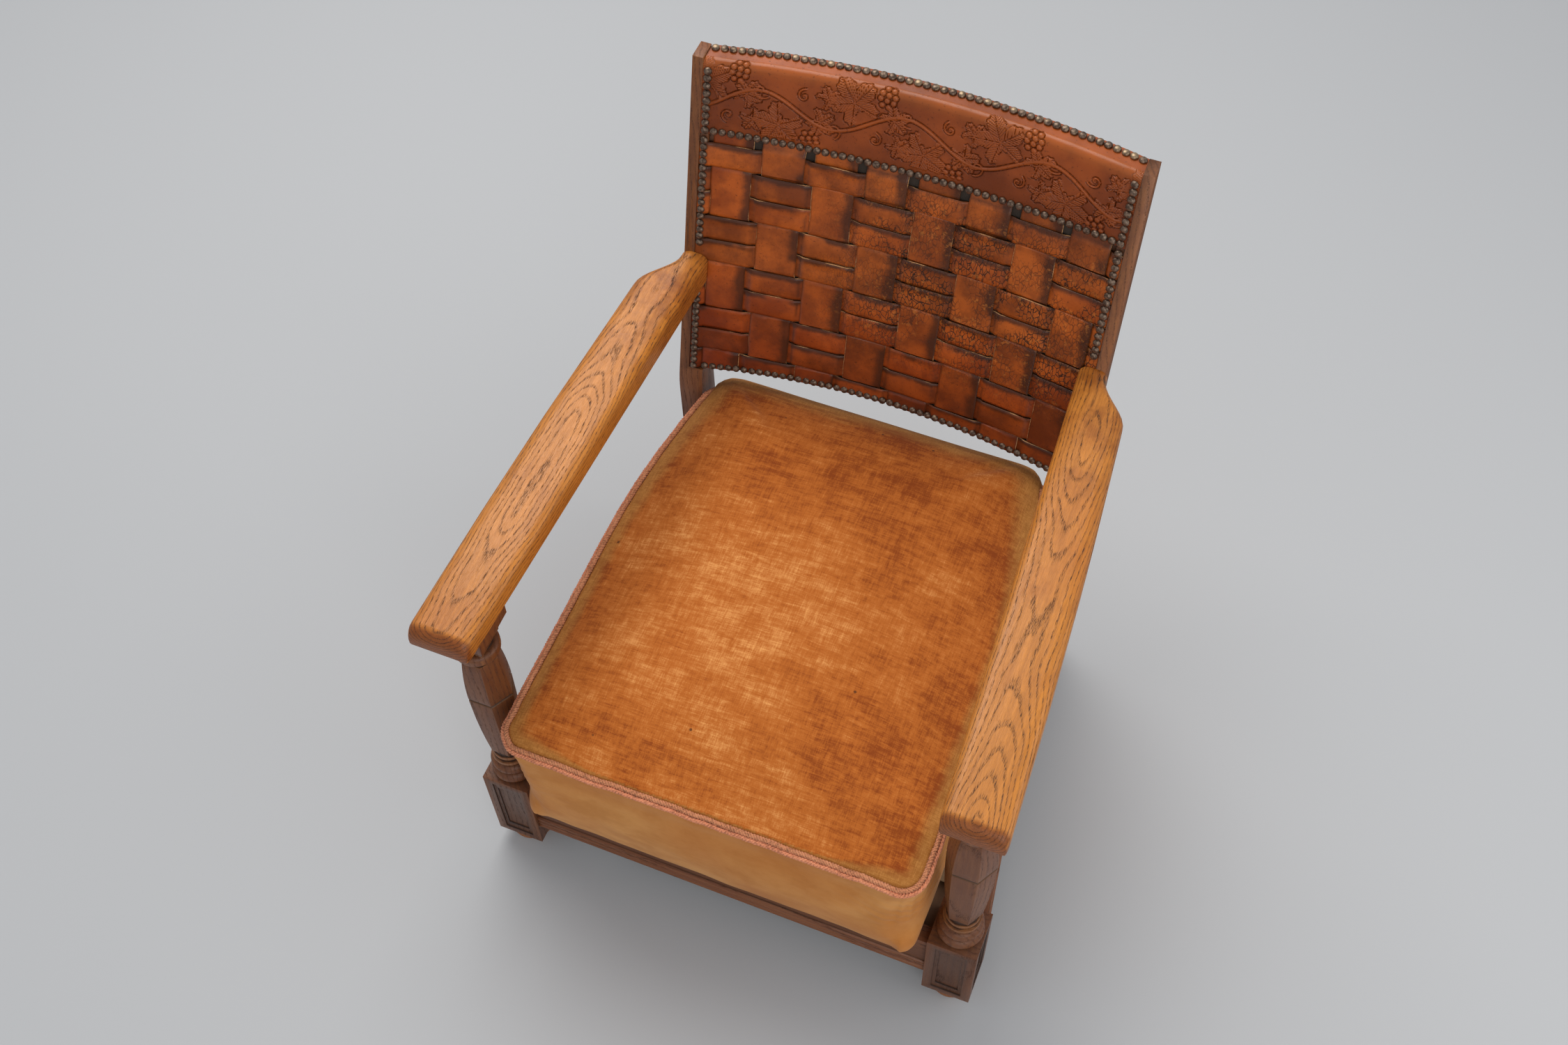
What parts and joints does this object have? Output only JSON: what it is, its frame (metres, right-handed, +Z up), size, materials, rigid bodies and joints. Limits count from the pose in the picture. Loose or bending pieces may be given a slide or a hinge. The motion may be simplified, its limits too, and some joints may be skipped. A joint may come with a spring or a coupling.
{
  "type": "lounge chair",
  "caption": "Low oak lounge armchair with turned front legs, a bowed back of woven leather straps, nailed borders and a thick loose cushion with rope trim.",
  "frame": {"origin": "centre of the chair's box on the floor", "axes": "+Z up, the chair faces -Y, +X is the sitter's left, so left in the names of nodes means +X"},
  "size_m": [0.703, 0.745, 0.8861],
  "materials": {
    "arm_oak": "honey oak with open pores and worn wax polish",
    "back_leather": "plain brown hide",
    "base_cloth": "plain cotton cloth",
    "crest_leather": "embossed cognac hide",
    "dark_oak": "dark stained oak, waxed",
    "felt": "felt and hair stuffing",
    "inner_wood": "plain unfinished hardwood",
    "lining": "dark woven lining cloth",
    "nails": "antique bronze",
    "springs": "bare spring wire",
    "strap_leather": "tan hide straps, waxed and worn, dark at the edges",
    "trim": "twisted chenille rope",
    "velvet": "rust gold velvet, worn",
    "webbing": "jute webbing"
  },
  "bodies": {
    "chair": {"arm_dowels": "inner_wood", "arm_left": "arm_oak", "arm_right": "arm_oak", "back_lining": "lining", "bottom_nails": "nails", "crest_leather": "crest_leather", "crest_nails": "nails", "crest_padding": "felt", "crest_rail": "inner_wood", "crest_top_nails": "nails", "front_corner_braces": "inner_wood", "front_leg_left": "dark_oak", "front_leg_right": "dark_oak", "front_rail": "dark_oak", "left_nails": "nails", "level_strap_1": "strap_leather", "level_strap_10": "strap_leather", "level_strap_2": "strap_leather", "level_strap_3": "strap_leather", "level_strap_4": "strap_leather", "level_strap_5": "strap_leather", "level_strap_6": "strap_leather", "level_strap_7": "strap_leather", "level_strap_8": "strap_leather", "level_strap_9": "strap_leather", "lower_back_rail": "inner_wood", "outside_back": "back_leather", "rear_corner_braces": "inner_wood", "rear_leg_left": "dark_oak", "rear_leg_right": "dark_oak", "rear_rail": "dark_oak", "right_nails": "nails", "side_rail_left": "dark_oak", "side_rail_right": "dark_oak", "upright_strap_1": "strap_leather", "upright_strap_2": "strap_leather", "upright_strap_3": "strap_leather", "upright_strap_4": "strap_leather", "upright_strap_5": "strap_leather", "upright_strap_6": "strap_leather", "upright_strap_7": "strap_leather", "upright_strap_8": "strap_leather", "webbing_crosswise": "webbing", "webbing_lengthwise": "webbing"},
    "cushion": {"cushion_base": "base_cloth", "cushion_cover": "velvet", "cushion_felt": "felt", "cushion_springs": "springs", "cushion_stuffing": "felt", "cushion_trim": "trim"}
  },
  "joints": [
    {"name": "cushion_slide", "type": "slide", "parent": "chair", "child": "cushion", "axis": [0, -1, 0], "range_m": [0, 0.66]}
  ]
}
